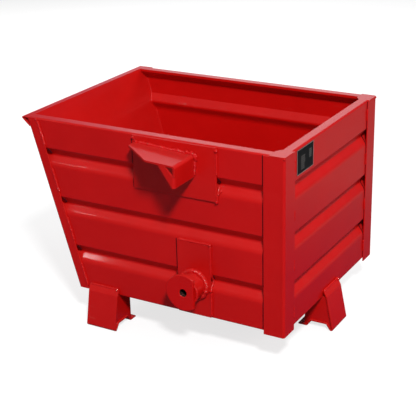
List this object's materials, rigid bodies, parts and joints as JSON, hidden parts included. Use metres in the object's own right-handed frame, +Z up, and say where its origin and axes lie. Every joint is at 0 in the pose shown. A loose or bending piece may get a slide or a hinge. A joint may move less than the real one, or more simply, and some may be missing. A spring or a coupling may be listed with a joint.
{
  "type": "stackable tipping container",
  "caption": "Open-top sheet steel tipping container with a sloping pouring side, side trunnions, a tipping hook and stacking feet.",
  "frame": {"origin": "on the ground, below the middle of the container's box, which includes the hook; the body's middle plane is 24 mm to its right, at y = +0.024", "axes": "+Z up, -X towards the pouring side, +X towards the rear wall, -Y towards the side with the hook"},
  "size_m": [0.974, 0.892, 0.687],
  "materials": {
    "red_paint": "semi-gloss red enamel over welded steel",
    "black_sign": "matt black printed sheet"
  },
  "bodies": {
    "root": {"front_plate": "red_paint", "rear_wall": "red_paint", "floor_plate": "red_paint", "hook_backing": "red_paint", "tipping_hook": "red_paint", "foot_shoe_rear": "red_paint", "foot_webs_rear": "red_paint", "type_plate": "black_sign", "side_wall_left": "red_paint", "side_wall_right": "red_paint", "corner_post_left": "red_paint", "corner_post_right": "red_paint", "corner_plate_left": "red_paint", "corner_plate_right": "red_paint", "trunnion_backing_left": "red_paint", "trunnion_backing_right": "red_paint", "trunnion_pin_left": "red_paint", "trunnion_pin_right": "red_paint", "trunnion_disc_left": "red_paint", "trunnion_disc_right": "red_paint", "foot_shoe_left": "red_paint", "foot_shoe_right": "red_paint", "foot_webs_left": "red_paint", "foot_webs_right": "red_paint"}
  },
  "joints": []
}
